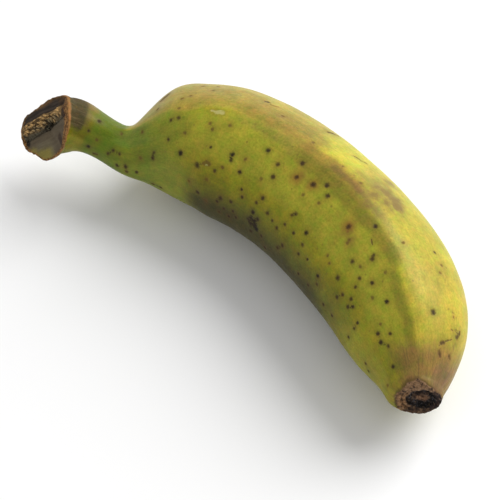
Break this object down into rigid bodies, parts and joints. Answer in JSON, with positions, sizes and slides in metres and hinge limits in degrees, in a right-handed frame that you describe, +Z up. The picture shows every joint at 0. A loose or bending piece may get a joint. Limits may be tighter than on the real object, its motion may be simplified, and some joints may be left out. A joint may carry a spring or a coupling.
{
  "type": "banana",
  "caption": "Short plump half-ripe banana lying on its side, with a slanting stalk cut, soft ridges and a flower scar.",
  "frame": {"origin": "under the middle of the outline, on the surface that the fruit rests on", "axes": "+X along the fruit from the stalk to the flower end, +Y towards the convex back, +Z up"},
  "size_m": [0.1544, 0.06, 0.0384],
  "materials": {
    "banana_peel": "smooth waxy peel, olive green turning yellow, with dark freckles"
  },
  "bodies": {
    "root": {"banana": "banana_peel"}
  },
  "joints": []
}
